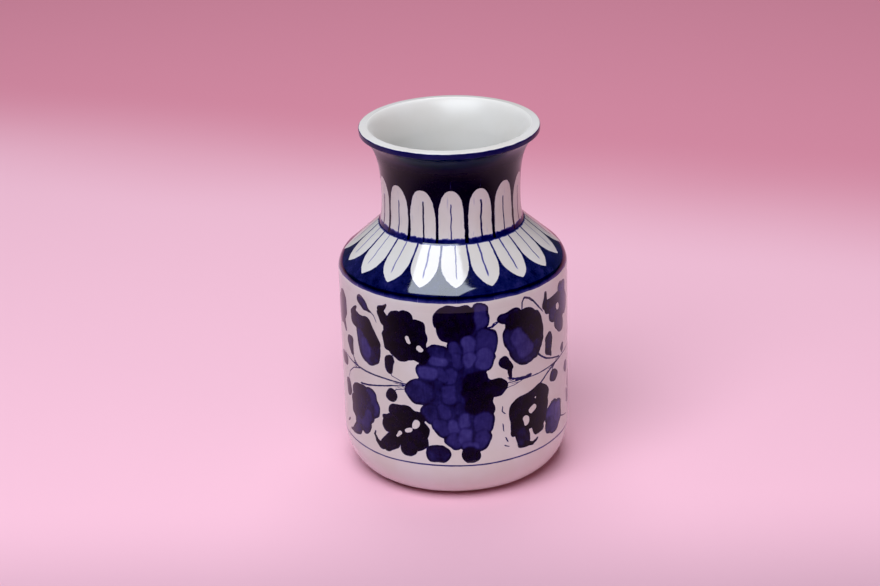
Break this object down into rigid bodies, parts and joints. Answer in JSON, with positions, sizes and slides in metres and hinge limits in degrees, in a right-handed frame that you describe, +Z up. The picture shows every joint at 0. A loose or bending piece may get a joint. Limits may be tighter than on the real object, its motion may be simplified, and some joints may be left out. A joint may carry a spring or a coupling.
{
  "type": "pottery vase",
  "caption": "Hand-painted glazed pottery vase with a straight-sided body, sloping shoulder, short neck and flared rim.",
  "frame": {"origin": "middle of the foot, on the surface that the vase stands on", "axes": "+Z up along the axis of the vase; the front of the painted pattern faces -Y"},
  "size_m": [0.1, 0.1, 0.1571],
  "materials": {
    "bare_clay": "unglazed fired clay, matt",
    "white_glaze": "glossy off-white glaze",
    "floral_glaze": "glossy off-white glaze painted with cobalt flowers",
    "petal_glaze": "glossy white glaze painted with a row of cobalt-edged petals",
    "cobalt_glaze": "glossy dark cobalt glaze outside, white inside"
  },
  "bodies": {
    "root": {"foot_ring": "bare_clay", "base": "white_glaze", "body": "floral_glaze", "shoulder": "petal_glaze", "neck": "petal_glaze", "rim": "cobalt_glaze"}
  },
  "joints": []
}
